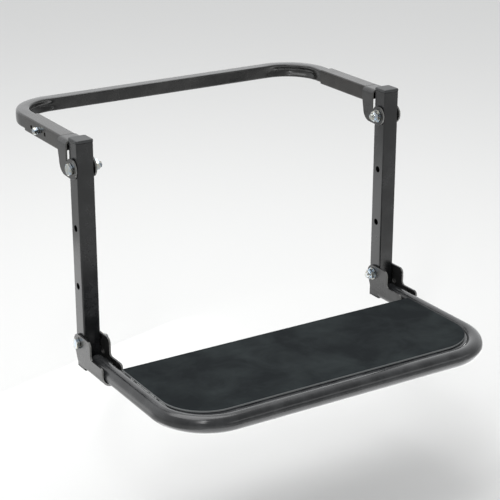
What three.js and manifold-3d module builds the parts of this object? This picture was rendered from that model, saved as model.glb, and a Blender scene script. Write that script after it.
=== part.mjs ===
// Drop-down tailgate step: a U-shaped tube frame that bolts up under a vehicle, two sleeves that
// telescope on its arms, two swinging legs, and a fold-up step with a rubber-topped tread.
//
// Millimetres. +X is right, +Y points under the vehicle, +Z is up. The origin is the middle of the
// top face of the frame's rear bar, which bears against the vehicle.
import * as THREE from 'three';
import { mergeVertices } from 'three/addons/utils/BufferGeometryUtils.js';
import Module from 'manifold-3d';

// ---- Driving dimensions ----

// Whole step
const LEG_PITCH = 562;            // between the centre lines of the two legs, arms and rail sides
const HOLE_PITCH = 94;            // between neighbouring holes of a leg
const HOLE_GAPS = 3;              // gaps between a leg's holes; the end holes take the pivots
const STEP_DEPTH = 306.5;         // from the leg axis to the centre line of the rail's front run

// Mounting frame tube
const FRAME_TUBE = 22;
const FRAME_WALL = 1.6;
const FRAME_CORNER = 3;           // outer corner radius of the tube's section
const FRAME_BEND = 68;            // centre-line radius of the two bends
const ARM_OVERLAP = 108;          // length of an arm that is inside its sleeve
const ARM_SHOWN = 19.9;           // straight arm between a bend and its sleeve
const DENT_DEPTH = 4.5;           // how far a bend's inner wall is pressed in
const BULGE = 0.6;                // how far a bend's top and bottom walls stand out

// Sleeves
const SLEEVE_WALL = 1.4;
const SLIDE_GAP = 0.3;            // between an arm and its sleeve, each side
const SLEEVE_CORNER = 2.4;
const SLEEVE_LENGTH = 132;
const SLEEVE_HOLE = 6.6;
const SLEEVE_HOLE_PITCH = 25;
const SCREW_SETBACK = 51;         // from the sleeve's rear end to its screw

// Clamp screws, M6
const SCREW_DIAMETER = 6;
const SCREW_HEAD_FLATS = 10;
const SCREW_HEAD_HEIGHT = 4;
const LOCK_NUT_HEIGHT = 3.2;
const SCREW_STAND_OFF = 0.5;      // between the screw's head and its lock nut

// Legs
const LEG_TUBE = 28;
const LEG_WALL = 1.6;
const LEG_CORNER = 2.4;
const LEG_END = 41;               // from an end hole to the end of the tube
const CAP_RIM = 0.5;              // how far a cap stands out past its tube
const CAP_HEIGHT = 4.5;
const CAP_CORNER = 3;
const FOOT_PLUG_HEIGHT = 2;
const PLUG_DEPTH = 12;
const PLUG_GAP = 0.4;             // between a plug's skirt and the tube's wall
const PLUG_WALL = 1.8;

// Folded brackets, top and bottom
const PLATE = 3;
const LEG_SIDE_GAP = 1.05;        // between a leg and each cheek of its brackets
const FOLD_CLEARANCE = 1;         // between a folded leg and its sleeve
const TOP_BEND = 5;               // inner bend radius of a top bracket
const TOP_REACH = 44.8;           // from the leg axis to the sleeve
const TOP_EAR_PROUD = 2.2;        // how far the top ear stands in front of the leg
const TOP_HEEL = 19;              // corner radius behind the top pivot
const TOP_BACK_TAPER = 4;         // how far the ear's back edge leans in at the bottom
const SLIT = 1.6;                 // between a leg's rear face and the top bracket's web
const STEP_BEND = 12.5;           // inner bend radius of a step bracket
const STEP_EAR_PROUD = 0.8;       // how far the bottom ear stands behind the leg
const STEP_SHOULDER = 26.3;       // how far the ear reaches in front of the leg's front face
const STEP_REACH = 66;            // how far the bracket's arm reaches in front of the leg
const ARM_TOP_DROP = 13.5;        // from the bottom pivot down to the arm's top edge
const STEP_EAR_BOTTOM = 32.5;     // from the bottom pivot down to the ear's bottom edge
const STEP_EAR_FOOT = 3.5;        // how far that edge reaches behind the pivot
const SHOULDER_CORNER = 9;
const NECK_BEND = 5.5;            // concave corner between the ear and the arm
const ARM_CORNER = 6;
const WEB_GAP = 0.5;              // between the bracket's bottom web and the leg it stops against
const GAUGE_HOLE = 6.5;           // blind gauge hole inside one cheek of each step bracket
const GAUGE_DEPTH = 2;
const GAUGE_HOLE_FORWARD = 4.5;   // from the leg's front face
const GAUGE_HOLE_DROP = 14.5;     // from the bottom pivot

// Pivot bolts, M10
const BOLT_DIAMETER = 10;
const HOLE_CLEARANCE = 0.8;       // between a bolt and the holes it passes through, on diameter
const BOLT_FLATS = 17;
const BOLT_HEAD_HEIGHT = 5.6;
const NUT_HEIGHT = 8;
const WASHER_DIAMETER = 21;
const WASHER_THICKNESS = 1.8;
const THREAD_PROUD = 3.5;         // bolt end showing past the nut

// Step rail
const RAIL_TUBE = 26.9;
const RAIL_WALL = 2;
const RAIL_BEND = 82;             // centre-line radius of the two front bends
const RAIL_START = 12;            // from the leg's front face to the rail's rear end

// Tread
const PAN_SHEET = 1.5;
const PAN_RISE = 7.5;             // from the rail's centre line up to the pan's underside
const PAN_LIP = 14;               // depth of the folded rear edge
const MAT_THICKNESS = 3.4;
const TREAD_SETBACK = 91.5;       // from the leg axis to the tread's rear edge
const MAT_FRONT_MARGIN = 6.5;     // pan showing in front of the mat

// Between pieces that touch
const GAP = 0.3;

// ---- Values that follow from them ----

const SLEEVE_TUBE = FRAME_TUBE + 2 * (SLIDE_GAP + SLEEVE_WALL);
const LEG_X = LEG_PITCH / 2;
const ARM_Z = -FRAME_TUBE / 2;
const SETOUT = FRAME_BEND + ARM_SHOWN + SLEEVE_LENGTH + GAP + TOP_REACH;
const LEG_Y = -SETOUT;
const TOP_PIVOT_Z = ARM_Z - SLEEVE_TUBE / 2 - FOLD_CLEARANCE - LEG_TUBE / 2;
const BOTTOM_PIVOT_Z = TOP_PIVOT_Z - HOLE_GAPS * HOLE_PITCH;
const LEG_LENGTH = HOLE_GAPS * HOLE_PITCH + 2 * LEG_END;
const LEG_FRONT = -LEG_TUBE / 2;
const RAIL_RADIUS = RAIL_TUBE / 2;
const CHEEK_INNER = Math.max(LEG_TUBE / 2 + LEG_SIDE_GAP, RAIL_RADIUS + GAP);
const CHEEK_OUTER = CHEEK_INNER + PLATE;
const TOP_EAR = LEG_TUBE / 2 + TOP_EAR_PROUD;
const STEP_EAR = LEG_TUBE / 2 + STEP_EAR_PROUD;
const SLEEVE_FRONT_Y = LEG_Y + TOP_REACH + GAP;
const SLEEVE_REAR_Y = SLEEVE_FRONT_Y + SLEEVE_LENGTH;
const ARM_END_Y = SLEEVE_REAR_Y - ARM_OVERLAP;
const SCREW_Y = SLEEVE_REAR_Y - SCREW_SETBACK;
const BOLT_HOLE = BOLT_DIAMETER + HOLE_CLEARANCE;
const RAIL_DROP = LEG_TUBE / 2 + RAIL_RADIUS;  // the folded rail lies along the leg
const RAIL_Z = BOTTOM_PIVOT_Z - RAIL_DROP;
const RAIL_FRONT_Y = LEG_Y - STEP_DEPTH;

const QUARTER = Math.PI / 2;
const RAIL_FACETS = 20;
const ARC_STEPS = 3;              // facets in a quarter turn of a small radius

// ---- Materials ----

function finish(color, roughness, metalness) {
  return new THREE.MeshStandardMaterial({ color, roughness, metalness });
}

const powderCoat = () => finish(0x1d1e1f, 0.42, 0.1);
const zincPlate = () => finish(0xc4c8ca, 0.3, 1.0);
const blackPlastic = () => finish(0x26282a, 0.55, 0.0);
const blackRubber = () => finish(0x202427, 0.85, 0.0);

// ---- Solids ----

const wasm = await Module();
wasm.setup();

function toSolid(geometry) {
  const bare = geometry.clone();
  bare.deleteAttribute('normal');
  bare.deleteAttribute('uv');
  const merged = mergeVertices(bare, 1e-4);
  return new wasm.Manifold(new wasm.Mesh({
    numProp: 3,
    vertProperties: new Float32Array(merged.attributes.position.array),
    triVerts: new Uint32Array(merged.index.array),
  }));
}

function toGeometry(solid) {
  const mesh = solid.getMesh();
  const geometry = new THREE.BufferGeometry();
  geometry.setAttribute('position', new THREE.BufferAttribute(mesh.vertProperties, 3));
  geometry.setIndex(new THREE.BufferAttribute(mesh.triVerts, 1));
  geometry.computeVertexNormals();
  return geometry;
}

// Extrudes a shape drawn in X and Y along +Z, centred on Z.
function prism(shape, length) {
  const geometry = new THREE.ExtrudeGeometry(shape, {
    depth: length,
    bevelEnabled: false,
    curveSegments: ARC_STEPS,
  });
  return geometry.translate(0, 0, -length / 2);
}

// A prism whose drawing plane is (Y, Z) and whose length runs along X.
function sidewaysPrism(shape, length) {
  return prism(shape, length).rotateY(QUARTER).rotateX(QUARTER);
}

// A prism whose drawing plane is (X, Z) and whose length runs along Y.
function lengthwaysPrism(shape, length) {
  return prism(shape, length).rotateX(QUARTER);
}

function rod(diameter, length, segments = 16) {
  return new THREE.CylinderGeometry(diameter / 2, diameter / 2, length, segments).rotateZ(QUARTER);
}

function roundedRectangle(width, height, radius) {
  const shape = new THREE.Shape();
  const x = width / 2;
  const y = height / 2;
  shape.moveTo(-x + radius, -y);
  shape.absarc(x - radius, -y + radius, radius, -QUARTER, 0, false);
  shape.absarc(x - radius, y - radius, radius, 0, QUARTER, false);
  shape.absarc(-x + radius, y - radius, radius, QUARTER, 2 * QUARTER, false);
  shape.absarc(-x + radius, -y + radius, radius, 2 * QUARTER, 3 * QUARTER, false);
  return shape;
}

function squareTube(size, wall, corner, length) {
  const shape = roundedRectangle(size, size, corner);
  const inside = size - 2 * wall;
  shape.holes.push(roundedRectangle(inside, inside, Math.max(corner - wall, 0.4)));
  return prism(shape, length);
}

// Joins two stacks of rings, the outside and the inside of a tube, into one closed body.
function hollowLoft(outside, inside) {
  const count = outside[0].length;
  const last = outside.length - 1;
  const rings = [...outside, ...inside];
  const position = rings.flat().flatMap((p) => [p.x, p.y, p.z]);
  const index = [];
  const at = (ring, k) => ring * count + (k % count);
  const quad = (a, b, c, d) => index.push(a, b, c, a, c, d);
  for (let k = 0; k < count; k += 1) {
    for (let i = 0; i < last; i += 1) {
      quad(at(i, k), at(i, k + 1), at(i + 1, k + 1), at(i + 1, k));
      const j = outside.length + i;
      quad(at(j, k), at(j + 1, k), at(j + 1, k + 1), at(j, k + 1));
    }
    const j = outside.length;
    quad(at(0, k), at(j, k), at(j, k + 1), at(0, k + 1));
    quad(at(last, k), at(last, k + 1), at(j + last, k + 1), at(j + last, k));
  }
  const geometry = new THREE.BufferGeometry();
  geometry.setAttribute('position', new THREE.Float32BufferAttribute(position, 3));
  geometry.setIndex(index);
  geometry.computeVertexNormals();
  return geometry;
}

// Stations of a flat U: from one open end round two bends to the other, which way round depends
// on the side it opens to. Each has its place, its outward direction and bend, which is 0 on a
// straight and rises to 1 in the middle of a bend.
function horseshoe(halfWidth, openY, closedY, radius, steps) {
  const toward = Math.sign(closedY - openY);
  const bendY = closedY - toward * radius;
  const bendX = halfWidth - radius;
  const stations = [];
  const add = (x, y, turn, bend) => {
    const out = new THREE.Vector3(-toward * Math.cos(turn), toward * Math.sin(turn), 0);
    stations.push({ place: new THREE.Vector3(-toward * x, y, 0), out, bend });
  };
  add(halfWidth, openY, 0, 0);
  for (let i = 0; i <= steps; i += 1) {
    const turn = QUARTER * i / steps;
    const y = bendY + toward * radius * Math.sin(turn);
    add(bendX + radius * Math.cos(turn), y, turn, Math.sin(2 * turn));
  }
  for (let i = 0; i <= steps; i += 1) {
    const turn = QUARTER * (1 + i / steps);
    const y = bendY + toward * radius * Math.sin(turn);
    add(-bendX + radius * Math.cos(turn), y, turn, Math.abs(Math.sin(2 * turn)));
  }
  add(-halfWidth, openY, 2 * QUARTER, 0);
  return stations;
}

// One ring of a section at each station; section(bend) gives points (across, up), with across
// measured towards the outside of the U.
function ringsAlong(stations, section) {
  return stations.map(({ place, out, bend }) => section(bend).map(([across, up]) => (
    new THREE.Vector3(place.x + out.x * across, place.y + out.y * across, up)
  )));
}

function circleSection(radius, segments) {
  return Array.from({ length: segments }, (_, k) => {
    const turn = 2 * Math.PI * k / segments;
    return [radius * Math.cos(turn), radius * Math.sin(turn)];
  });
}

// A square tube's section where the tube is crush-bent: the wall at the inside of the bend is
// pressed in, and the top and bottom walls bulge.
function crushedSection(size, corner, bend) {
  const half = size / 2;
  const outline = roundedRectangle(size, size, corner).getPoints(2).slice(0, -1);
  const innerWall = [0.5, 0, -0.5].map((t) => new THREE.Vector2(-half, t * half));
  const topWall = [0.4, -0.4].map((t) => new THREE.Vector2(t * half, half));
  const bottomWall = [-0.4, 0.4].map((t) => new THREE.Vector2(t * half, -half));
  const points = [...outline, ...innerWall, ...topWall, ...bottomWall];
  points.sort((a, b) => Math.atan2(a.y, a.x) - Math.atan2(b.y, b.x));
  return points.map((p) => {
    const inward = Math.max(-p.x / half, 0);
    const across = p.x + bend * DENT_DEPTH * inward ** 4 * Math.cos(QUARTER * p.y / half) ** 0.5;
    const up = p.y * (1 + bend * BULGE / half * Math.cos(QUARTER * p.x / half));
    return [across, up];
  });
}

// ---- Mounting frame ----

function mountingFrame() {
  const stations = horseshoe(LEG_X, ARM_END_Y, 0, FRAME_BEND, 8);
  const inner = FRAME_TUBE - 2 * FRAME_WALL;
  const outside = ringsAlong(stations, (b) => crushedSection(FRAME_TUBE, FRAME_CORNER, b));
  const inside = ringsAlong(stations, (b) => crushedSection(inner, FRAME_CORNER - FRAME_WALL, b));
  return hollowLoft(outside, inside).translate(0, 0, ARM_Z);
}

// ---- Sleeves: side is +1 on the right and -1 on the left ----

function sleeve(side) {
  const tube = squareTube(SLEEVE_TUBE, SLEEVE_WALL, SLEEVE_CORNER, SLEEVE_LENGTH).rotateX(QUARTER);
  tube.translate(side * LEG_X, (SLEEVE_FRONT_Y + SLEEVE_REAR_Y) / 2, ARM_Z);
  let body = toSolid(tube);
  for (const step of [-1, 0, 1]) {
    const x = side * (LEG_X + SLEEVE_TUBE / 2);
    const drill = rod(SLEEVE_HOLE, 4 * SLEEVE_WALL, 12);
    drill.translate(x, SCREW_Y + step * SLEEVE_HOLE_PITCH, ARM_Z);
    body = body.subtract(toSolid(drill));
  }
  return toGeometry(body);
}

function hexPrism(flats, height, chamfer) {
  const radius = flats / Math.sqrt(3);
  const hex = new THREE.CylinderGeometry(radius, radius, height, 6).rotateZ(QUARTER);
  const trim = new THREE.CylinderGeometry(radius - chamfer, radius + height, height, 18);
  return toSolid(hex).intersect(toSolid(trim.rotateZ(-QUARTER)));
}

// The screw's threaded shank is in a hole of the sleeve's outer wall; its tip clamps the arm.
function clampScrew(side) {
  const face = LEG_X + SLEEVE_TUBE / 2;
  const tip = LEG_X + FRAME_TUBE / 2 + SLIDE_GAP;
  const seat = face + GAP + LOCK_NUT_HEIGHT + SCREW_STAND_OFF;
  const shank = toSolid(rod(SCREW_DIAMETER, seat + 1 - tip, 12).translate((seat + 1 + tip) / 2, 0, 0));
  const head = hexPrism(SCREW_HEAD_FLATS, SCREW_HEAD_HEIGHT, 0.4);
  const body = shank.add(head.translate([seat + SCREW_HEAD_HEIGHT / 2, 0, 0]));
  return toGeometry(body).rotateZ(side > 0 ? 0 : 2 * QUARTER).translate(0, SCREW_Y, ARM_Z);
}

function hexNut(flats, height, bore, chamfer) {
  const body = hexPrism(flats, height, chamfer);
  return body.subtract(toSolid(rod(bore, 2 * height)));
}

function clampLockNut(side) {
  const x = LEG_X + SLEEVE_TUBE / 2 + GAP + LOCK_NUT_HEIGHT / 2;
  const nut = toGeometry(hexNut(SCREW_HEAD_FLATS, LOCK_NUT_HEIGHT, SCREW_DIAMETER + 2 * GAP, 0.3));
  return nut.translate(x, 0, 0).rotateZ(side > 0 ? 0 : 2 * QUARTER).translate(0, SCREW_Y, ARM_Z);
}

// ---- Brackets ----

// A folded channel's section, open downwards, with the outside of its web at Y = 0.
function channelSection(depth, bend) {
  const outer = bend + PLATE;
  const shape = new THREE.Shape();
  shape.moveTo(-CHEEK_OUTER, -depth);
  shape.lineTo(-CHEEK_INNER, -depth);
  shape.absarc(-CHEEK_INNER + bend, -PLATE - bend, bend, 2 * QUARTER, QUARTER, true);
  shape.absarc(CHEEK_INNER - bend, -PLATE - bend, bend, QUARTER, 0, true);
  shape.lineTo(CHEEK_INNER, -depth);
  shape.lineTo(CHEEK_OUTER, -depth);
  shape.absarc(CHEEK_OUTER - outer, -outer, outer, 0, QUARTER, false);
  shape.absarc(-CHEEK_OUTER + outer, -outer, outer, QUARTER, 2 * QUARTER, false);
  return shape;
}

// Side view of a top bracket, with the pivot at the origin, Y to the right and Z up.
function topBracketOutline(top) {
  const front = LEG_TUBE / 2 + SLIT;
  const bottom = -TOP_EAR + 1;
  const meet = Math.acos(front / TOP_EAR);
  const shape = new THREE.Shape();
  shape.moveTo(front, top);
  shape.lineTo(front, TOP_EAR * Math.sin(meet) + 5);
  shape.quadraticCurveTo(front, TOP_EAR * Math.sin(meet) + 1, front - 3, TOP_EAR * Math.sin(meet) + 3.5);
  shape.absarc(0, 0, TOP_EAR, QUARTER * 0.62, 3 * QUARTER, false);
  shape.lineTo(TOP_REACH - TOP_BACK_TAPER - TOP_HEEL, bottom);
  shape.absarc(TOP_REACH - TOP_BACK_TAPER - TOP_HEEL, bottom + TOP_HEEL, TOP_HEEL, -QUARTER, 0, false);
  shape.lineTo(TOP_REACH, TOP_HEEL + 4);
  shape.lineTo(TOP_REACH, top);
  return shape;
}

function topBracket(side) {
  const top = ARM_Z + SLEEVE_TUBE / 2 - TOP_PIVOT_Z;
  const channel = lengthwaysPrism(channelSection(4 * TOP_EAR, TOP_BEND), 8 * TOP_EAR);
  let body = toSolid(channel.translate(0, 0, top));
  body = body.intersect(toSolid(sidewaysPrism(topBracketOutline(top + 1), 4 * CHEEK_OUTER)));
  body = body.subtract(toSolid(rod(BOLT_HOLE, 4 * CHEEK_OUTER)));
  return toGeometry(body).translate(side * LEG_X, LEG_Y, TOP_PIVOT_Z);
}

// Side view of a step bracket, with the pivot at the origin.
function stepBracketOutline(bottom) {
  const web = LEG_FRONT - WEB_GAP;
  const shoulder = LEG_FRONT - STEP_SHOULDER;
  const reach = LEG_FRONT - STEP_REACH;
  const shape = new THREE.Shape();
  const footTurn = Math.atan2(-STEP_EAR_BOTTOM, STEP_EAR_FOOT);
  const tangent = footTurn + Math.acos(STEP_EAR / Math.hypot(STEP_EAR_FOOT, STEP_EAR_BOTTOM));
  shape.absarc(0, 0, STEP_EAR, tangent, QUARTER, false);
  const corner = SHOULDER_CORNER;
  shape.absarc(shoulder + corner, STEP_EAR - corner, corner, QUARTER, 2 * QUARTER, false);
  shape.absarc(shoulder - NECK_BEND, -ARM_TOP_DROP + NECK_BEND, NECK_BEND, 0, -QUARTER, true);
  const armCorner = -ARM_TOP_DROP - ARM_CORNER;
  shape.absarc(reach + ARM_CORNER, armCorner, ARM_CORNER, QUARTER, 2 * QUARTER, false);
  shape.lineTo(reach, bottom);
  shape.lineTo(web, bottom);
  shape.lineTo(web, -STEP_EAR_BOTTOM);
  shape.lineTo(STEP_EAR_FOOT, -STEP_EAR_BOTTOM);
  return shape;
}

function stepBracket(side) {
  const webFace = RAIL_DROP + RAIL_RADIUS + GAP + PLATE;
  const channel = lengthwaysPrism(channelSection(4 * STEP_EAR, STEP_BEND), 3 * STEP_REACH);
  let body = toSolid(channel.rotateY(2 * QUARTER).translate(0, 0, -webFace));
  body = body.intersect(toSolid(sidewaysPrism(stepBracketOutline(-webFace - 1), 4 * CHEEK_OUTER)));
  body = body.subtract(toSolid(rod(BOLT_HOLE, 4 * CHEEK_OUTER)));
  const gaugeDrill = rod(GAUGE_HOLE, 2 * GAUGE_DEPTH, 12);
  gaugeDrill.translate(CHEEK_INNER, LEG_FRONT - GAUGE_HOLE_FORWARD, -GAUGE_HOLE_DROP);
  body = body.subtract(toSolid(gaugeDrill));
  return toGeometry(body).translate(side * LEG_X, LEG_Y, BOTTOM_PIVOT_Z);
}

// ---- Legs ----

function leg(side) {
  const middle = (TOP_PIVOT_Z + BOTTOM_PIVOT_Z) / 2;
  let body = toSolid(squareTube(LEG_TUBE, LEG_WALL, LEG_CORNER, LEG_LENGTH).translate(0, 0, middle));
  for (let k = 0; k <= HOLE_GAPS; k += 1) {
    const drill = rod(BOLT_HOLE, 2 * LEG_TUBE).translate(0, 0, BOTTOM_PIVOT_Z + k * HOLE_PITCH);
    body = body.subtract(toSolid(drill));
  }
  return toGeometry(body).translate(side * LEG_X, LEG_Y, 0);
}

// A moulded plug: a flange over the tube's end and a hollow skirt inside it. up is +1 or -1.
function plug(side, up, height, rim) {
  const inside = LEG_TUBE - 2 * LEG_WALL - 2 * PLUG_GAP;
  const flange = prism(roundedRectangle(LEG_TUBE + 2 * rim, LEG_TUBE + 2 * rim, CAP_CORNER), height);
  const skirt = squareTube(inside, PLUG_WALL, 1.2, PLUG_DEPTH);
  let body = toSolid(flange.translate(0, 0, GAP + height / 2));
  body = body.add(toSolid(skirt.translate(0, 0, GAP + 0.5 - PLUG_DEPTH / 2)));
  const end = up > 0 ? TOP_PIVOT_Z + LEG_END : BOTTOM_PIVOT_Z - LEG_END;
  const piece = toGeometry(body).rotateX(up > 0 ? 0 : 2 * QUARTER);
  return piece.translate(side * LEG_X, LEG_Y, end);
}

// ---- Pivot hardware: each bolt's head is on the outer side of the step ----

const HEAD_SEAT = CHEEK_OUTER + GAP;
const NUT_SEAT = CHEEK_OUTER + WASHER_THICKNESS + 2 * GAP;

function pivotPlace(geometry, side, z) {
  return geometry.rotateZ(side > 0 ? 0 : 2 * QUARTER).translate(side * LEG_X, LEG_Y, z);
}

function pivotBolt(side, z) {
  const end = NUT_SEAT + NUT_HEIGHT + THREAD_PROUD;
  const length = HEAD_SEAT + 1 + end;
  const shank = toSolid(rod(BOLT_DIAMETER, length).translate(HEAD_SEAT + 1 - length / 2, 0, 0));
  const head = hexPrism(BOLT_FLATS, BOLT_HEAD_HEIGHT, 0.8);
  const body = shank.add(head.translate([HEAD_SEAT + BOLT_HEAD_HEIGHT / 2, 0, 0]));
  return pivotPlace(toGeometry(body), side, z);
}

function pivotNut(side, z) {
  const body = hexNut(BOLT_FLATS, NUT_HEIGHT, BOLT_DIAMETER + 2 * GAP, 0.8);
  const turned = toGeometry(body).rotateZ(2 * QUARTER);
  return pivotPlace(turned.translate(-NUT_SEAT - NUT_HEIGHT / 2, 0, 0), side, z);
}

// The washer is under the nut.
function pivotWasher(side, z) {
  const disc = toSolid(rod(WASHER_DIAMETER, WASHER_THICKNESS, 20));
  const bore = toSolid(rod(BOLT_DIAMETER + 2 * GAP, 2 * WASHER_THICKNESS));
  const x = -CHEEK_OUTER - GAP - WASHER_THICKNESS / 2;
  return pivotPlace(toGeometry(disc.subtract(bore)).translate(x, 0, 0), side, z);
}

// ---- Step rail and tread ----

function stepRail() {
  const openY = LEG_Y + LEG_FRONT - RAIL_START;
  const stations = horseshoe(LEG_X, openY, RAIL_FRONT_Y, RAIL_BEND, 8);
  const outside = ringsAlong(stations, () => circleSection(RAIL_RADIUS, RAIL_FACETS));
  const inside = ringsAlong(stations, () => circleSection(RAIL_RADIUS - RAIL_WALL, RAIL_FACETS));
  return hollowLoft(outside, inside).translate(0, 0, RAIL_Z);
}

// How far inside the rail's centre line a flat edge must stay at a height above that line.
function railClearance(rise) {
  return Math.sqrt(RAIL_RADIUS ** 2 - rise ** 2) + GAP;
}

// Outline of a tread sheet: square rear corners, round front ones.
function treadOutline(halfWidth, rear, front, corner) {
  const shape = new THREE.Shape();
  shape.moveTo(halfWidth, rear);
  shape.lineTo(-halfWidth, rear);
  shape.absarc(-halfWidth + corner, front + corner, corner, 2 * QUARTER, 3 * QUARTER, false);
  shape.absarc(halfWidth - corner, front + corner, corner, -QUARTER, 0, false);
  return shape;
}

const PAN_UNDERSIDE = RAIL_Z + PAN_RISE;
const PAN_HALF_WIDTH = LEG_X - railClearance(PAN_RISE);
const PAN_FRONT_Y = RAIL_FRONT_Y + railClearance(PAN_RISE);
const PAN_CORNER = RAIL_BEND - railClearance(PAN_RISE);
const TREAD_REAR_Y = LEG_Y - TREAD_SETBACK;

function treadPan() {
  const sheet = prism(treadOutline(PAN_HALF_WIDTH, TREAD_REAR_Y, PAN_FRONT_Y, PAN_CORNER), PAN_SHEET);
  const lipWidth = 2 * (LEG_X - RAIL_RADIUS - 2 * GAP);
  const lip = new THREE.BoxGeometry(lipWidth, PAN_SHEET, PAN_LIP);
  sheet.translate(0, 0, PAN_UNDERSIDE + PAN_SHEET / 2);
  lip.translate(0, TREAD_REAR_Y - PAN_SHEET / 2, PAN_UNDERSIDE + PAN_SHEET / 2 - PAN_LIP / 2);
  return toGeometry(toSolid(sheet).add(toSolid(lip)));
}

function treadMat() {
  const base = PAN_RISE + PAN_SHEET + GAP;
  const inset = railClearance(base);
  const front = PAN_FRONT_Y + MAT_FRONT_MARGIN;
  const outline = treadOutline(LEG_X - inset, TREAD_REAR_Y, front, RAIL_BEND - inset);
  return prism(outline, MAT_THICKNESS).translate(0, 0, RAIL_Z + base + MAT_THICKNESS / 2);
}

// ---- Assembly ----

const step = new THREE.Group();

function place(name, geometry, material) {
  const mesh = new THREE.Mesh(geometry, material);
  mesh.name = name;
  step.add(mesh);
}

place('mounting_frame', mountingFrame(), powderCoat());
place('step_rail', stepRail(), powderCoat());
place('tread_pan', treadPan(), powderCoat());
place('tread_mat', treadMat(), blackRubber());

const sides = { left: -1, right: 1 };
const pivots = { top: TOP_PIVOT_Z, bottom: BOTTOM_PIVOT_Z };

for (const [hand, side] of Object.entries(sides)) {
  place(`sleeve_${hand}`, sleeve(side), powderCoat());
  place(`clamp_screw_${hand}`, clampScrew(side), zincPlate());
  place(`clamp_lock_nut_${hand}`, clampLockNut(side), zincPlate());
  place(`top_bracket_${hand}`, topBracket(side), powderCoat());
  place(`leg_${hand}`, leg(side), powderCoat());
  place(`leg_cap_${hand}`, plug(side, 1, CAP_HEIGHT, CAP_RIM), blackPlastic());
  place(`foot_plug_${hand}`, plug(side, -1, FOOT_PLUG_HEIGHT, 0), blackPlastic());
  place(`step_bracket_${hand}`, stepBracket(side), powderCoat());
  for (const [level, z] of Object.entries(pivots)) {
    place(`${level}_pivot_bolt_${hand}`, pivotBolt(side, z), zincPlate());
    place(`${level}_pivot_nut_${hand}`, pivotNut(side, z), zincPlate());
    place(`${level}_pivot_washer_${hand}`, pivotWasher(side, z), zincPlate());
  }
}

export default step;
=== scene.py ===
# Drop-down tailgate step: a bent tube frame, two telescoping sleeves, two hinged legs and a fold-up
# step with a rubber mat. Metres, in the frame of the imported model: +X right, +Y under the vehicle.
import math

import bmesh
import bpy
from mathutils import Matrix, Vector


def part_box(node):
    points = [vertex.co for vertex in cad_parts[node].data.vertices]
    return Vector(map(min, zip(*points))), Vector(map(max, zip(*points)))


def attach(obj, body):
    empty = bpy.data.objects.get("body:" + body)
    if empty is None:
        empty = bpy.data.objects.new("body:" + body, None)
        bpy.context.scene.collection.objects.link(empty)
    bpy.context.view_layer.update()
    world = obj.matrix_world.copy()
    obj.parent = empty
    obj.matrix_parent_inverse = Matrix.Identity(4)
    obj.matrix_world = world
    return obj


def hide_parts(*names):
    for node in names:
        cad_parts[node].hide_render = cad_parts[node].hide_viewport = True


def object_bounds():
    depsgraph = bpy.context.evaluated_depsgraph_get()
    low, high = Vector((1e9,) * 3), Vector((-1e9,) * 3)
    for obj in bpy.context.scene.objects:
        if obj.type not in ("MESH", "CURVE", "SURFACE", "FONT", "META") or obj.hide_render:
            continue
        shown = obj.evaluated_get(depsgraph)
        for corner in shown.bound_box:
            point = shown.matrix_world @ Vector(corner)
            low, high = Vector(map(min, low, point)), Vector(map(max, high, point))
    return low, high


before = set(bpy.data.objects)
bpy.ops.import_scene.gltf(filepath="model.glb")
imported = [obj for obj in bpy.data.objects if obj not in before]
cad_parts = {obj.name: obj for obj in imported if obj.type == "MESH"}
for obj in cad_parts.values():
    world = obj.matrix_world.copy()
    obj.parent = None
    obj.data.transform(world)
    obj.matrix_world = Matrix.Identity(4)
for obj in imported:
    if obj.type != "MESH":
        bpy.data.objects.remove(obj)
cad_low, cad_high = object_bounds()

# ---- Mounting frame ----
# One length of 22 mm square steel tube, bent cold into a U. The press crushes each bend: the inner
# wall is pushed in as a long dish, and the walls beside it swell a little. Powder coated black.

mm = 0.001
FRAME_TUBE = 22 * mm
FRAME_WALL = 1.6 * mm
FRAME_CORNER = 3.0 * mm
FRAME_BEND = 68 * mm
DISH_DEPTH = 5.2 * mm
DISH_RUN_OUT = 17 * mm            # how far the dish reaches past each end of the bend
DISH_EASE = 2.2 * DISH_RUN_OUT    # length over which it deepens
DISH_HEIGHT = 0.90                # share of the inner wall's height that is pushed in
SWELL = 0.6 * mm                  # of the walls above, below and outside the dish
FINE_RUN = 30 * mm                # of each straight, next to a bend, that has shorter steps


def along_bar(start, heading, spans):
    """Stations of a bar bent flat, as (place, outward, travelled). Each span is (length, turn, steps)."""
    place, travelled = Vector(start), 0.0
    stations = [(place.copy(), heading, travelled)]
    for length, turn, steps in spans:
        for _ in range(steps):
            half_turn = turn / steps / 2
            chord = length / steps * (math.sin(half_turn) / half_turn if turn else 1)
            heading += half_turn
            place = place + Vector((math.cos(heading), math.sin(heading), 0)) * chord
            heading += half_turn
            travelled += length / steps
            stations.append((place.copy(), heading, travelled))
    return [(p, Vector((math.sin(h), -math.cos(h), 0)), t) for p, h, t in stations]


def u_bend_spans(side_length, radius, across_length, steps):
    """Spans of a U: side, bend, across, bend, side. Straights have shorter steps near the bends."""
    quarter = (radius * math.pi / 2, math.pi / 2, steps)
    fine = min(FINE_RUN, side_length / 2)
    side = [(side_length - fine, 0, 4), (fine, 0, 8)]
    across = [(fine, 0, 8), (across_length - 2 * fine, 0, 8), (fine, 0, 8)]
    return [*side, quarter, *across, quarter, *reversed(side)]


def square_outline(half, corner, flat_steps=10, corner_steps=6):
    """A rounded square as (across, up) pairs, counter-clockwise, evenly split along each flat."""
    points = []
    for quadrant in range(4):
        turn = quadrant * math.pi / 2
        centre = half - corner
        for k in range(corner_steps + 1):
            a = k / corner_steps * math.pi / 2
            points.append((centre + corner * math.cos(a), centre + corner * math.sin(a), turn))
        for k in range(1, flat_steps):
            points.append((centre - 2 * centre * k / flat_steps, half, turn))
    return [(x * math.cos(t) - y * math.sin(t), x * math.sin(t) + y * math.cos(t)) for x, y, t in points]


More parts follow.
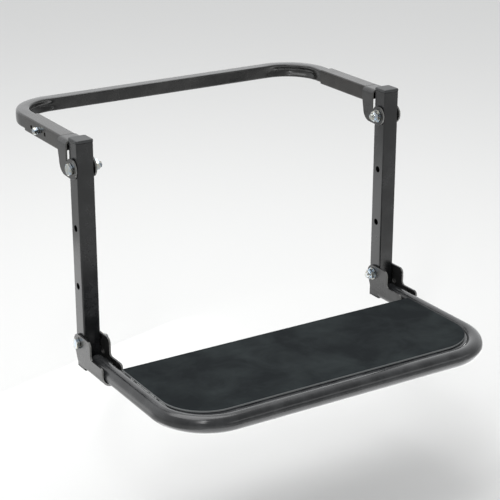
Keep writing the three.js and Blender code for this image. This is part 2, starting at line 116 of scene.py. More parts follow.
def rings_along(stations, outline):
    """One ring of points at each station; outline(travelled) gives the section there."""
    return [[place + outward * across + Vector((0, 0, up)) for across, up in outline(travelled)]
            for place, outward, travelled in stations]


def mesh_of(name, rings, loop=False):
    """Skins a row of rings. With loop the last ring joins the first, or else both ends are capped."""
    build = bmesh.new()
    rows = [[build.verts.new(point) for point in ring] for ring in rings]
    pairs = list(zip(rows, rows[1:] + rows[:1])) if loop else list(zip(rows, rows[1:]))
    count = len(rings[0])
    for lower, upper in pairs:
        for k in range(count):
            after = (k + 1) % count
            build.faces.new((lower[k], lower[after], upper[after], upper[k]))
    if not loop:
        build.faces.new(reversed(rows[0]))
        build.faces.new(rows[-1])
    bmesh.ops.recalc_face_normals(build, faces=build.faces)
    mesh = bpy.data.meshes.new(name)
    build.to_mesh(mesh)
    build.free()
    piece = bpy.data.objects.new(name, mesh)
    bpy.context.scene.collection.objects.link(piece)
    return piece


def settle(piece):
    """Applies a piece's modifiers to its mesh."""
    graph = bpy.context.evaluated_depsgraph_get()
    mesh = bpy.data.meshes.new_from_object(piece.evaluated_get(graph), preserve_all_data_layers=True,
                                           depsgraph=graph)
    piece.modifiers.clear()
    piece.data = mesh


def smooth(piece, sharp=38):
    """Smooth shading that keeps large flats flat and folds sharp."""
    piece.data.shade_smooth()
    piece.data.set_sharp_from_angle(angle=math.radians(sharp))
    weights = piece.modifiers.new("flats stay flat", "WEIGHTED_NORMAL")
    weights.keep_sharp = True
    settle(piece)


def to_linear(colour):
    """An sRGB hex colour as linear RGBA."""
    channels = [int(colour[k:k + 2], 16) / 255 for k in (1, 3, 5)]
    return [c / 12.92 if c <= 0.04045 else ((c + 0.055) / 1.055) ** 2.4 for c in channels] + [1]


def add_node(tree, kind, inputs=(), **settings):
    """Adds a node. inputs maps a socket's name or number to a value or to the output that feeds it."""
    node = tree.nodes.new(kind)
    for setting, value in settings.items():
        setattr(node, setting, value)
    for socket, value in dict(inputs).items():
        if isinstance(value, bpy.types.NodeSocket):
            tree.links.new(value, node.inputs[socket])
        else:
            node.inputs[socket].default_value = value
    return node


def new_material(name):
    """An empty node material, with its tree and a coordinate in metres on the piece."""
    material = bpy.data.materials.new(name)
    material.use_nodes = True
    material.node_tree.nodes.clear()
    place = add_node(material.node_tree, "ShaderNodeTexCoord").outputs["Object"]
    return material, material.node_tree, place


def black_powder_coat(name, base, dust, roughness, painted_edge_highlight=None):
    """Polyester powder baked on steel: satin black, orange peel in the gloss, faint dust on it.

    The peel is drawn at 5 mm, coarser than the real 1 mm, so that it shows. Given an edge colour, faces
    that look forward or back, such as the cut edges of plates, are painted lighter: a painted highlight.
    """
    material, tree, place = new_material(name)
    peel = add_node(tree, "ShaderNodeTexNoise", {"Vector": place, "Scale": 1 / (5 * mm), "Detail": 3.0})
    cloud = add_node(tree, "ShaderNodeTexNoise", {"Vector": place, "Scale": 1 / (38 * mm), "Detail": 6.0,
                                                  "Roughness": 0.62})
    dusty = add_node(tree, "ShaderNodeMapRange", {"Value": cloud.outputs["Fac"], "From Min": 0.42,
                                                  "From Max": 0.75, "To Min": 0.0, "To Max": 1.0})
    colour = add_node(tree, "ShaderNodeMix", {"Factor": dusty.outputs[0], "A": to_linear(base),
                                              "B": to_linear(dust)}, data_type="RGBA")
    # Painted highlight: faces that look forward or back, such as the cut edges of plates, are mixed towards
    # the lighter edge colour.
    if painted_edge_highlight:
        normal = add_node(tree, "ShaderNodeTexCoord").outputs["Normal"]
        facing = add_node(tree, "ShaderNodeSeparateXYZ", {"Vector": normal})
        ahead = add_node(tree, "ShaderNodeMath", {0: facing.outputs["Y"]}, operation="ABSOLUTE")
        edge = add_node(tree, "ShaderNodeMapRange", {"Value": ahead.outputs[0], "From Min": 0.25,
                                                     "From Max": 0.6, "To Min": 0.0, "To Max": 1.0})
        colour = add_node(tree, "ShaderNodeMix", {"Factor": edge.outputs[0], "A": colour.outputs["Result"],
                                                  "B": to_linear(painted_edge_highlight)}, data_type="RGBA")
    gloss = add_node(tree, "ShaderNodeMapRange", {"Value": cloud.outputs["Fac"], "From Min": 0.3,
                                                  "From Max": 0.7, "To Min": roughness - 0.05,
                                                  "To Max": roughness + 0.07})
    bump = add_node(tree, "ShaderNodeBump", {"Height": peel.outputs["Fac"], "Strength": 0.05,
                                             "Distance": 0.2 * mm})
    coat = add_node(tree, "ShaderNodeBsdfPrincipled", {"Base Color": colour.outputs["Result"],
                                                       "Roughness": gloss.outputs[0], "IOR": 1.48,
                                                       "Normal": bump.outputs["Normal"]})
    add_node(tree, "ShaderNodeOutputMaterial", {"Surface": coat.outputs["BSDF"]})
    return material


def hang(piece, body, material, slot, *nodes):
    """Gives a finished piece its material and its body, and hides the CAD nodes it stands for. The slot is
    not used.
    """
    piece.data.materials.clear()
    piece.data.materials.append(material)
    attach(piece, body)
    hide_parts(*nodes)


frame_coat = black_powder_coat("frame powder coat", "#161616", "#2e2e2d", 0.21)

frame_low, frame_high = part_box("mounting_frame")
leg_low, leg_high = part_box("leg_right")
arm_x = (leg_low.x + leg_high.x) / 2
arm_z = (frame_low.z + frame_high.z) / 2
side_run = frame_high.y - FRAME_TUBE / 2 - FRAME_BEND - frame_low.y
bar_run = 2 * (arm_x - FRAME_BEND)
bend_run = FRAME_BEND * math.pi / 2
bend_starts = (side_run, side_run + bend_run + bar_run)


def ease(t):
    """A smooth step from 0 at t = 0 to 1 at t = 1."""
    t = min(max(t, 0.0), 1.0)
    return t * t * (3 - 2 * t)


def crush(travelled):
    """How strongly the bar is crushed at a place along it, from 0 to 1."""
    strength = 0.0
    for start in bend_starts:
        before = travelled - (start - DISH_RUN_OUT)
        after = (start + bend_run + DISH_RUN_OUT) - travelled
        strength = max(strength, ease(before / DISH_EASE) * ease(after / DISH_EASE))
    return strength


def crushed_outline(half, corner):
    """The tube's section as a function of the place along it, dished inwards in the bends."""
    def outline(travelled):
        force = crush(travelled)
        points = []
        for across, up in square_outline(half, corner, 14):
            height = min(abs(up) / (DISH_HEIGHT * half), 1)
            push = DISH_DEPTH * math.cos(height * math.pi / 2) ** 1.6 * ease(-across / half * 2 - 1)
            swell = SWELL * math.cos(across / half * math.pi / 2) * up / half
            outward = SWELL * math.cos(height * math.pi / 2) * ease(across / half * 2 - 1)
            points.append((across + force * push + force ** 3 * outward, up + force * swell))
        return points
    return outline


frame_stations = along_bar((arm_x, frame_low.y, arm_z), math.pi / 2,
                           u_bend_spans(side_run, FRAME_BEND, bar_run, 28))
frame_outside = rings_along(frame_stations, crushed_outline(FRAME_TUBE / 2, FRAME_CORNER))
frame_inside = rings_along(frame_stations, crushed_outline(FRAME_TUBE / 2 - FRAME_WALL,
                                                           FRAME_CORNER - FRAME_WALL))
bent_frame = mesh_of("bent_frame_tube", frame_outside + frame_inside[::-1], loop=True)
smooth(bent_frame)
hang(bent_frame, "frame", frame_coat, "powder_coat", "mounting_frame")

# ---- Sleeves ----
# Two lengths of 25.4 mm square tube that telescope on the frame's arms. The outer wall of each is
# drilled three times, and the middle hole takes the clamp screw. Powder coated after drilling.

SLEEVE_WALL = 1.4 * mm
SLEEVE_CORNER = 2.4 * mm
SLEEVE_HOLE = 6.6 * mm
SLEEVE_HOLE_PITCH = 25 * mm
TUBE_DEBURR = 0.35 * mm           # off the ends of the sleeves and the legs


def square_tube(name, size, wall, corner, low, high, axis):
    """A straight tube from low to high along an axis, with its ends deburred."""
    def ring(half, radius, at):
        points = square_outline(half, radius, 4)
        if axis == "y":
            return [Vector((a, at, b)) for a, b in points]
        return [Vector((a, b, at)) for a, b in points]
    half, trim = size / 2, TUBE_DEBURR
    outside = [ring(half - trim, corner - trim, low), ring(half, corner, low + trim),
               ring(half, corner, high - trim), ring(half - trim, corner - trim, high)]
    bore, bore_corner = half - wall, max(corner - wall, 0.4 * mm)
    inside = [ring(bore + trim / 2, bore_corner, high), ring(bore, bore_corner, high - trim),
              ring(bore, bore_corner, low + trim), ring(bore + trim / 2, bore_corner, low)]
    return mesh_of(name, outside + inside, loop=True)


def circle(radius, count, at):
    """A ring round the X axis."""
    turns = [2 * math.pi * k / count for k in range(count)]
    return [Vector((at, radius * math.cos(t), radius * math.sin(t))) for t in turns]


def carve(piece, tool, operation="DIFFERENCE"):
    """Cuts a tool out of a piece, keeps what they share or joins the two, and uses up the tool."""
    cut = piece.modifiers.new("cut", "BOOLEAN")
    cut.operation = operation
    cut.solver = "EXACT"
    cut.object = tool
    settle(piece)
    bpy.data.objects.remove(tool)


def drill(piece, diameter, centre, length, count=32):
    """Drills a round hole along X."""
    bit = mesh_of("bit", [circle(diameter / 2, count, end * length / 2) for end in (-1, 1)])
    bit.data.transform(Matrix.Translation(centre))
    carve(piece, bit)


def shift(piece, x, y, z, mirror=False):
    """Moves a piece's mesh into place. With mirror it swaps left for right first."""
    if mirror:
        for vertex in piece.data.vertices:
            vertex.co.x = -vertex.co.x
        piece.data.flip_normals()
    piece.data.transform(Matrix.Translation((x, y, z)))
    return piece


SIDES = {"left": -1, "right": 1}
sleeve_coat = black_powder_coat("sleeve powder coat", "#141210", "#2a2825", 0.22)
sleeve_low, sleeve_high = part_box("sleeve_right")
sleeve_size = sleeve_high.x - sleeve_low.x
screw_low, screw_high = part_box("clamp_screw_right")
screw_y = (screw_low.y + screw_high.y) / 2

for hand, side in SIDES.items():
    sleeve = square_tube(f"sleeve_tube_{hand}", sleeve_size, SLEEVE_WALL, SLEEVE_CORNER,
                         sleeve_low.y, sleeve_high.y, "y")
    for step in (-1, 0, 1):
        drill(sleeve, SLEEVE_HOLE, (sleeve_size / 2, screw_y + step * SLEEVE_HOLE_PITCH, 0), 5 * mm, 24)
    shift(sleeve, side * arm_x, 0, arm_z, side < 0)
    smooth(sleeve)
    hang(sleeve, "arms", sleeve_coat, "powder_coat", f"sleeve_{hand}")

# ---- Clamp screws and lock nuts ----
# An M6 hexagon screw in each sleeve's middle hole grips the arm, and a thin nut locks it. Cold
# forged steel, bright zinc plated, so the flats are smooth and the plating is faintly coloured.

SCREW_FLATS = 10 * mm
SCREW_HEAD = 4 * mm
SCREW_DIAMETER = 6 * mm
SCREW_PITCH = 1.0 * mm
SCREW_NECK = 1.0 * mm             # plain shank between the thread and the head
LOCK_NUT_BORE = 6.6 * mm
CHAMFER_START = 0.475             # radius where a hexagon's cone begins, in widths across flats
BORE_CHAMFER = 0.4 * mm


def hexagon(flats, count, at):
    """A hexagon round the X axis as one ring of points, with its corners on the ring."""
    points = []
    for k in range(count):
        turn = 2 * math.pi * k / count
        reach = flats / 2 / math.cos((turn + math.pi / 6) % (math.pi / 3) - math.pi / 6)
        points.append(Vector((at, reach * math.cos(turn), reach * math.sin(turn))))
    return points


def chamfered_hexagon(flats, count, at, inward):
    """A hexagon's edge where a 30 degree cone trims its corners; inward is +1 or -1 along X."""
    points = hexagon(flats, count, at)
    for point in points:
        over = math.hypot(point.y, point.z) - CHAMFER_START * flats
        point.x += inward * over * math.tan(math.radians(30))
    return points


def thread(diameter, pitch, start, end, count):
    """Rings of a screw thread from start to end along X, with a chamfered start."""
    rings_per_turn = 8
    depth = 0.6 * pitch
    steps = round((end - start) / pitch * rings_per_turn)
    rings = []
    for i in range(steps + 1):
        x = start + (end - start) * i / steps
        ring = []
        for k in range(count):
            turn = 2 * math.pi * k / count
            phase = (x / pitch - k / count) % 1
            radius = diameter / 2 - depth * abs(2 * phase - 1)
            radius = min(radius, diameter / 2 - depth + (x - start))
            ring.append(Vector((x, radius * math.cos(turn), radius * math.sin(turn))))
        rings.append(ring)
    return rings


def hexagon_screw(name, diameter, pitch, flats, head, tip, thread_end, seat):
    """A screw along X: its threaded tip, its shank, and its head from seat outwards."""
    count = 48
    rings = thread(diameter, pitch, tip, thread_end, count)
    rings += [circle(diameter / 2, count, thread_end + 0.3 * mm), circle(diameter / 2, count, seat)]
    bearing_face = 0.46 * flats
    bearing_top = seat + 0.4 * mm
    rings += [circle(bearing_face, count, seat), circle(bearing_face, count, bearing_top),
              hexagon(flats, count, bearing_top),
              chamfered_hexagon(flats, count, seat + head, -1),
              circle(0.47 * flats, count, seat + head)]
    return mesh_of(name, rings)


def hexagon_nut(name, flats, bore, low, high, collar=0.0):
    """A nut along X. With a collar its outer end is the round one that grips a locking ring."""
    count = 48
    flat_top = high - collar
    rings = [circle(bore / 2 + BORE_CHAMFER, count, low), circle(CHAMFER_START * flats, count, low),
             chamfered_hexagon(flats, count, low, 1), chamfered_hexagon(flats, count, flat_top, -1),
             circle(CHAMFER_START * flats, count, flat_top)]
    if collar:
        rings += [circle(0.44 * flats, count, flat_top + 0.15 * collar),
                  circle(0.43 * flats, count, flat_top + 0.6 * collar),
                  circle(0.40 * flats, count, flat_top + 0.9 * collar),
                  circle(0.36 * flats, count, high)]
    rings += [circle(bore / 2 + BORE_CHAMFER, count, high), circle(bore / 2, count, high - BORE_CHAMFER),
              circle(bore / 2, count, low + BORE_CHAMFER)]
    return mesh_of(name, rings, loop=True)


def zinc_plate():
    """Bright zinc: a mirror-like metal dulled by its passivate, which adds faint blue and straw."""
    material, tree, place = new_material("bright zinc plate")
    tint = add_node(tree, "ShaderNodeTexNoise", {"Vector": place, "Scale": 1 / (6 * mm), "Detail": 2.0})
    ramp = add_node(tree, "ShaderNodeValToRGB", {"Fac": tint.outputs["Fac"]})
    stops = ((0.34, "#94a5b3"), (0.48, "#adb1b4"), (0.60, "#b1ad9f"), (0.70, "#9ba9af"))
    while len(ramp.color_ramp.elements) < len(stops):
        ramp.color_ramp.elements.new(0.5)
    for element, (at, colour) in zip(ramp.color_ramp.elements, stops):
        element.position = at
        element.color = to_linear(colour)
    grain = add_node(tree, "ShaderNodeTexNoise", {"Vector": place, "Scale": 1 / (1.5 * mm), "Detail": 4.0})
    gloss = add_node(tree, "ShaderNodeMapRange", {"Value": grain.outputs["Fac"], "From Min": 0.3,
                                                  "From Max": 0.7, "To Min": 0.20, "To Max": 0.30})
    bump = add_node(tree, "ShaderNodeBump", {"Height": grain.outputs["Fac"], "Strength": 0.05,
                                             "Distance": 0.05 * mm})
    metal = add_node(tree, "ShaderNodeBsdfPrincipled", {"Base Color": ramp.outputs["Color"],
                                                        "Roughness": gloss.outputs[0], "Metallic": 1.0,
                                                        "Normal": bump.outputs["Normal"]})
    add_node(tree, "ShaderNodeOutputMaterial", {"Surface": metal.outputs["BSDF"]})
    return material


zinc = zinc_plate()
lock_low, lock_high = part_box("clamp_lock_nut_right")
screw_seat = screw_high.x - SCREW_HEAD

for hand, side in SIDES.items():
    screw = hexagon_screw(f"clamp_screw_m6_{hand}", SCREW_DIAMETER, SCREW_PITCH, SCREW_FLATS, SCREW_HEAD,
                          screw_low.x, screw_seat - SCREW_NECK, screw_seat)
    lock_nut = hexagon_nut(f"clamp_lock_nut_m6_{hand}", SCREW_FLATS, LOCK_NUT_BORE, lock_low.x, lock_high.x)
    for piece, node in ((screw, f"clamp_screw_{hand}"), (lock_nut, f"clamp_lock_nut_{hand}")):
        shift(piece, 0, screw_y, arm_z, side < 0)
        smooth(piece, 24)
        hang(piece, "arms", zinc, "zinc", node)

# ---- Top brackets ----
# Each is a 3 mm plate folded into an inverted channel and welded on the end of its sleeve. Its two
# cheeks run forward past the leg as ears for the pivot, and its web stops just behind the leg.

PLATE = 3 * mm
TOP_FOLD = 5 * mm                 # inner radius of the folds
TOP_EAR_PROUD = 2.2 * mm          # how far the ear stands in front of the leg
TOP_EAR_START = 0.62              # quarter turns from the back, where the ear leaves the slit
TOP_HEEL = 19 * mm                # radius of the cheek's lower rear corner
TOP_BACK_TAPER = 4 * mm
CUT_SPARE = 1 * mm                # how far an outline runs past the plate that it cuts
SLIT = 1.6 * mm                   # between the leg and the web
PIVOT_HOLE = 10.8 * mm
PLATE_EDGE = 0.8 * mm             # rounding that the coat gives a sheared edge


def arc(x, y, radius, start, end, steps=12):
    """Points of an arc from start to end, in quarter turns."""
    turns = [(start + (end - start) * k / steps) * math.pi / 2 for k in range(steps + 1)]
    return [(x + radius * math.cos(t), y + radius * math.sin(t)) for t in turns]


def prism(name, outline, low, high, axis):
    """A flat outline pushed out from low to high: (y, z) along X or (x, z) along Y."""
    if axis == "x":
        rings = [[Vector((at, a, b)) for a, b in outline] for at in (low, high)]
    else:
        rings = [[Vector((a, at, b)) for a, b in outline] for at in (low, high)]
    return mesh_of(name, rings)


def channel_outline(inner, depth, fold):
    """The section of a folded channel, open downwards, with the outside of its web at 0."""
    outer = inner + PLATE
    return [(-outer, -depth), (-inner, -depth),
            *arc(-inner + fold, -PLATE - fold, fold, 2, 1),
            *arc(inner - fold, -PLATE - fold, fold, 1, 0), (inner, -depth), (outer, -depth),
            *arc(inner - fold, -PLATE - fold, fold + PLATE, 0, 1),
            *arc(-inner + fold, -PLATE - fold, fold + PLATE, 1, 2)]


def round_edges(piece, width):
    """Rounds the sheared edges of a plate."""
    bevel = piece.modifiers.new("rounded edges", "BEVEL")
    bevel.width = width
    bevel.segments = 2
    bevel.limit_method = "ANGLE"
    bevel.angle_limit = math.radians(50)
    settle(piece)


def centre_of(node):
    """The middle of a CAD node's box."""
    low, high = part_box(node)
    return (low + high) / 2


top_pivot = centre_of("top_pivot_nut_right")
bottom_pivot = centre_of("bottom_pivot_nut_right")
top_low, top_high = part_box("top_bracket_right")
cheek_inner = (top_high.x - top_low.x) / 2 - PLATE
leg_half = (leg_high.x - leg_low.x) / 2
TOP_EAR = leg_half + TOP_EAR_PROUD
bracket_top = top_high.z - top_pivot.z
bracket_back = top_high.y - top_pivot.y
web_front = leg_half + SLIT
ear_meets_web = math.sqrt(TOP_EAR ** 2 - web_front ** 2)
heel_y = bracket_back - TOP_BACK_TAPER - TOP_HEEL
heel_z = TOP_HEEL - TOP_EAR + 1 * mm    # the heel's low point is a little above the ear's

TOP_OUTLINE = [(web_front, bracket_top + CUT_SPARE),
               (web_front, ear_meets_web + 5 * mm),
               (web_front - 0.6 * mm, ear_meets_web + 3.6 * mm),
               (web_front - 2 * mm, ear_meets_web + 3.4 * mm),
               *arc(0, 0, TOP_EAR, TOP_EAR_START, 3, 32),
               *arc(heel_y, heel_z, TOP_HEEL, -1, 0),
               (bracket_back, TOP_HEEL + TOP_BACK_TAPER),
               (bracket_back, bracket_top + CUT_SPARE)]

# Its last colour is painted on the cut edges facing forward and back as a painted highlight.
bracket_coat = black_powder_coat("bracket powder coat", "#1b1b1b", "#333333", 0.27, "#656563")

for hand, side in SIDES.items():
    bracket = prism(f"top_bracket_plate_{hand}", channel_outline(cheek_inner, 4 * TOP_EAR, TOP_FOLD),
                    -4 * TOP_EAR, 4 * TOP_EAR, "y")
    shift(bracket, 0, 0, bracket_top)
    carve(bracket, prism("outline", TOP_OUTLINE, -2 * TOP_EAR, 2 * TOP_EAR, "x"), "INTERSECT")
    drill(bracket, PIVOT_HOLE, (0, 0, 0), 4 * TOP_EAR)
    round_edges(bracket, PLATE_EDGE)
    shift(bracket, side * arm_x, top_pivot.y, top_pivot.z, side < 0)
    smooth(bracket)
    hang(bracket, "arms", bracket_coat, "powder_coat", f"top_bracket_{hand}")

# ---- Legs ----
# 28 mm square tube, drilled through at four even heights so that the step's height can be set.
# Powder coated after drilling, so the drilled edges are soft.

LEG_WALL = 1.6 * mm
LEG_CORNER = 2.4 * mm
LEG_HOLE_GAPS = 3

leg_coat = black_powder_coat("leg powder coat", "#121314", "#28292a", 0.23)
hole_pitch = (top_pivot.z - bottom_pivot.z) / LEG_HOLE_GAPS

for hand, side in SIDES.items():
    leg = square_tube(f"leg_tube_{hand}", 2 * leg_half, LEG_WALL, LEG_CORNER, leg_low.z, leg_high.z, "z")
    for k in range(LEG_HOLE_GAPS + 1):
        drill(leg, PIVOT_HOLE, (0, 0, bottom_pivot.z + k * hole_pitch), 4 * leg_half)
    shift(leg, side * arm_x, top_pivot.y, 0)
    smooth(leg)
    hang(leg, "legs", leg_coat, "powder_coat", f"leg_{hand}")

# ---- Leg caps and foot plugs ----
# Polyethylene plugs, injection moulded and pushed into the tube's ends: a soft-edged flange over
# the end and a skirt inside. The cap's flange is a little wider than the tube.

CAP_CORNER = 3.2 * mm
CAP_EDGE = 1.8 * mm               # rounding of the flange's outer edge
PLUG_EDGE = 0.6 * mm
PLUG_WALL = 1.8 * mm
PLUG_GAP = 0.4 * mm               # between the skirt and the tube's bore
SKIRT_LENGTH = 11 * mm
TUBE_GAP = 0.3 * mm               # between the flange and the tube's end


def moulded_plug(name, low, high, width, corner, edge):
    """A plug along Z: its flange between low and high, and a hollow skirt below the flange."""
    def ring(half, radius, at):
        return [Vector((a, b, at)) for a, b in square_outline(half, radius, 4)]
    half = width / 2
    skirt_half = leg_half - LEG_WALL - PLUG_GAP
    skirt_end = low - SKIRT_LENGTH
    rings = [ring(half - 0.2 * mm, corner, low), ring(half, corner, low + 0.2 * mm)]
    for k in range(6):
        turn = k / 5 * math.pi / 2
        inset = edge * (1 - math.cos(turn))
        rings.append(ring(half - inset, corner - inset / 2, high - edge + edge * math.sin(turn)))
    rings.append(ring(half * 0.4, corner * 0.5, high))
    skirt = [ring(skirt_half - PLUG_WALL, 0.5 * mm, low + 0.6 * mm),
             ring(skirt_half - PLUG_WALL, 0.5 * mm, skirt_end),
             ring(skirt_half, 1.2 * mm, skirt_end), ring(skirt_half, 1.2 * mm, low)]
    return mesh_of(name, skirt + rings)


def moulded_polyethylene():
    """Black polyethylene straight from a spark-eroded mould: matt, with a fine even grain."""
    material, tree, place = new_material("moulded black polyethylene")
    grain = add_node(tree, "ShaderNodeTexNoise", {"Vector": place, "Scale": 1 / (1.6 * mm), "Detail": 2.0})
    bump = add_node(tree, "ShaderNodeBump", {"Height": grain.outputs["Fac"], "Strength": 0.25,
                                             "Distance": 0.1 * mm})
    scuff = add_node(tree, "ShaderNodeTexNoise", {"Vector": place, "Scale": 1 / (9 * mm), "Detail": 4.0})
    tone = add_node(tree, "ShaderNodeMix", {"Factor": scuff.outputs["Fac"], "A": to_linear("#1b1c1d"),
                                            "B": to_linear("#303233")}, data_type="RGBA")
    plastic = add_node(tree, "ShaderNodeBsdfPrincipled", {"Base Color": tone.outputs["Result"],
                                                          "Roughness": 0.5, "IOR": 1.5,
                                                          "Normal": bump.outputs["Normal"]})
    add_node(tree, "ShaderNodeOutputMaterial", {"Surface": plastic.outputs["BSDF"]})
    return material


polyethylene = moulded_polyethylene()
cap_low, cap_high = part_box("leg_cap_right")
plug_low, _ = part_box("foot_plug_right")

for hand, side in SIDES.items():
    cap = moulded_plug(f"leg_cap_moulding_{hand}", leg_high.z + TUBE_GAP, cap_high.z,
                       cap_high.x - cap_low.x, CAP_CORNER, CAP_EDGE)
    shift(cap, side * arm_x, top_pivot.y, 0)
    foot = moulded_plug(f"foot_plug_moulding_{hand}", TUBE_GAP - leg_low.z, -plug_low.z,
                        2 * leg_half, LEG_CORNER, PLUG_EDGE)
    for vertex in foot.data.vertices:
        vertex.co.z = -vertex.co.z
    foot.data.flip_normals()
    shift(foot, side * arm_x, top_pivot.y, 0)
    for piece, node in ((cap, f"leg_cap_{hand}"), (foot, f"foot_plug_{hand}")):
        smooth(piece)
        hang(piece, "legs", polyethylene, "plastic", node)

# ---- Step brackets ----
# A 3 mm plate folded up round the rail's rear end: a web under the rail, and two cheeks that rise
# beside the leg as ears. Level, the web's rear edge stands against the leg and is the step's stop.

STEP_FOLD = 12.5 * mm             # inner radius of the folds under the rail
STEP_EAR_PROUD = 0.8 * mm         # how far the ear stands in front of the leg
STEP_SHOULDER = 26.3 * mm         # in front of the leg's front face
SHOULDER_CORNER = 9 * mm
ARM_TOP_DROP = 13.5 * mm          # below the pivot
ARM_CORNER = 6 * mm
EAR_BOTTOM = 32.5 * mm            # below the pivot
EAR_FOOT = 3.5 * mm               # behind the pivot
NECK_BEND = 5.5 * mm
WEB_GAP = 0.5 * mm                # between the web and the leg
GAUGE_HOLE = 6.5 * mm             # a blind recess in the right-hand cheek
GAUGE_DEPTH = 2 * mm
GAUGE_HOLE_FORWARD = 4.5 * mm     # in front of the leg's front face
GAUGE_HOLE_DROP = 14.5 * mm       # below the pivot
BURR_WIDTH = 1.2 * mm             # of the ring of metal thrown up round the recess
BURR_HEIGHT = 0.7 * mm
BURR_SHOULDER = 0.2 * mm
BURR_ROOT = 0.3 * mm              # how deep the ring is set in the cheek

step_low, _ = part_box("step_bracket_right")
STEP_EAR = leg_half + STEP_EAR_PROUD
web_face = bottom_pivot.z - step_low.z
arm_reach = step_low.y - bottom_pivot.y
shoulder_y = -leg_half - STEP_SHOULDER
web_rear = -leg_half - WEB_GAP
gauge_y = -leg_half - GAUGE_HOLE_FORWARD
# Where on the ear's round the straight edge up from the bracket's foot touches it.
foot_turn = math.atan2(-EAR_BOTTOM, EAR_FOOT) + math.acos(STEP_EAR / math.hypot(EAR_FOOT, EAR_BOTTOM))

STEP_OUTLINE = [*arc(0, 0, STEP_EAR, foot_turn / (math.pi / 2), 1, 20),
                *arc(shoulder_y + SHOULDER_CORNER, STEP_EAR - SHOULDER_CORNER, SHOULDER_CORNER, 1, 2),
                *arc(shoulder_y - NECK_BEND, -ARM_TOP_DROP + NECK_BEND, NECK_BEND, 0, -1, 8),
                *arc(arm_reach + ARM_CORNER, -ARM_TOP_DROP - ARM_CORNER, ARM_CORNER, 1, 2),
                (arm_reach, -web_face - CUT_SPARE), (web_rear, -web_face - CUT_SPARE),
                (web_rear, -EAR_BOTTOM), (EAR_FOOT, -EAR_BOTTOM)]


def burr_ring():
    """The ring round the recess, on the inner face of the cheek."""
    rim = GAUGE_HOLE / 2
    section = [(rim, BURR_ROOT), (rim, -BURR_SHOULDER), (rim + BURR_WIDTH / 2, -BURR_HEIGHT),
               (rim + BURR_WIDTH, -BURR_SHOULDER), (rim + BURR_WIDTH, BURR_ROOT)]
    rings = [circle(radius, 32, cheek_inner + depth) for radius, depth in section]
    return shift(mesh_of("burr", rings, loop=True), 0, gauge_y, -GAUGE_HOLE_DROP)


for hand, side in SIDES.items():
    section = [(a, -b) for a, b in channel_outline(cheek_inner, 4 * STEP_EAR, STEP_FOLD)]
    bracket = prism(f"step_bracket_plate_{hand}", section, -8 * STEP_EAR, 4 * STEP_EAR, "y")
    shift(bracket, 0, 0, -web_face)
    carve(bracket, prism("outline", STEP_OUTLINE, -2 * STEP_EAR, 2 * STEP_EAR, "x"), "INTERSECT")
    drill(bracket, PIVOT_HOLE, (0, 0, 0), 4 * STEP_EAR)
    round_edges(bracket, PLATE_EDGE)
    drill(bracket, GAUGE_HOLE, (cheek_inner, gauge_y, -GAUGE_HOLE_DROP), 2 * GAUGE_DEPTH)
    carve(bracket, burr_ring(), "UNION")
    shift(bracket, side * arm_x, bottom_pivot.y, bottom_pivot.z)
    smooth(bracket)
    hang(bracket, "step", bracket_coat, "powder_coat", f"step_bracket_{hand}")

# ---- Step rail ----
# 26.9 mm round steel tube bent into a wide U, its rear ends held in the step brackets. The rail is
# coated with the tread in place, and the coat is glossier on its rounded surface.

RAIL_WALL = 2 * mm
RAIL_BEND = 82 * mm

rail_low, rail_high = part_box("step_rail")
rail_radius = (rail_high.z - rail_low.z) / 2
rail_z = (rail_high.z + rail_low.z) / 2
rail_side = rail_high.y - (rail_low.y + rail_radius) - RAIL_BEND
rail_across = 2 * (arm_x - RAIL_BEND)
rail_coat = black_powder_coat("rail powder coat", "#1f2021", "#343536", 0.2)


def round_outline(radius, count=40):
    """A circle as (across, up) pairs, counter-clockwise."""
    turns = [2 * math.pi * k / count for k in range(count)]
    return [(radius * math.cos(t), radius * math.sin(t)) for t in turns]


rail_stations = along_bar((-arm_x, rail_high.y, rail_z), -math.pi / 2,
                          u_bend_spans(rail_side, RAIL_BEND, rail_across, 28))
rail_outside = rings_along(rail_stations, lambda travelled: round_outline(rail_radius))
rail_inside = rings_along(rail_stations, lambda travelled: round_outline(rail_radius - RAIL_WALL))
rail = mesh_of("step_rail_tube", rail_outside + rail_inside[::-1], loop=True)
smooth(rail)
hang(rail, "step", rail_coat, "powder_coat", "step_rail")

# ---- Tread pan ----
# 1.5 mm sheet laid in the rail's U, its rear edge folded down into a lip. Tack welds along its
# other edges hold it to the rail's shoulders. Coated together with the rail.

PAN_SHEET = 1.5 * mm
PAN_FOLD = 1.5 * mm               # outer radius of the fold
PAN_EDGE = 0.6 * mm
LIP_OVERLAP = 3 * mm              # how far the folded lip's top reaches into the sheet
LIP_END_GAP = 2.5 * mm

pan_low, pan_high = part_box("tread_pan")
pan_half = (pan_high.x - pan_low.x) / 2
pan_corner = RAIL_BEND - (arm_x - pan_half)
lip_half = pan_half - LIP_END_GAP
pan_coat = black_powder_coat("tread pan powder coat", "#1c1d1f", "#36383a", 0.28)


def tread_outline(half_width, front, rear, corner):
    """Plan of a tread sheet: square at the back, round at the front corners."""
    middle_of_bend = half_width - corner
    return [(half_width, rear), (-half_width, rear),
            *arc(-middle_of_bend, front + corner, corner, 2, 3, 20),
            *arc(middle_of_bend, front + corner, corner, 3, 4, 20)]


def flat_sheet(name, outline, low, high):
    """A level sheet with an (x, y) outline, from low to high."""
    return mesh_of(name, [[Vector((x, y, at)) for x, y in outline] for at in (low, high)])


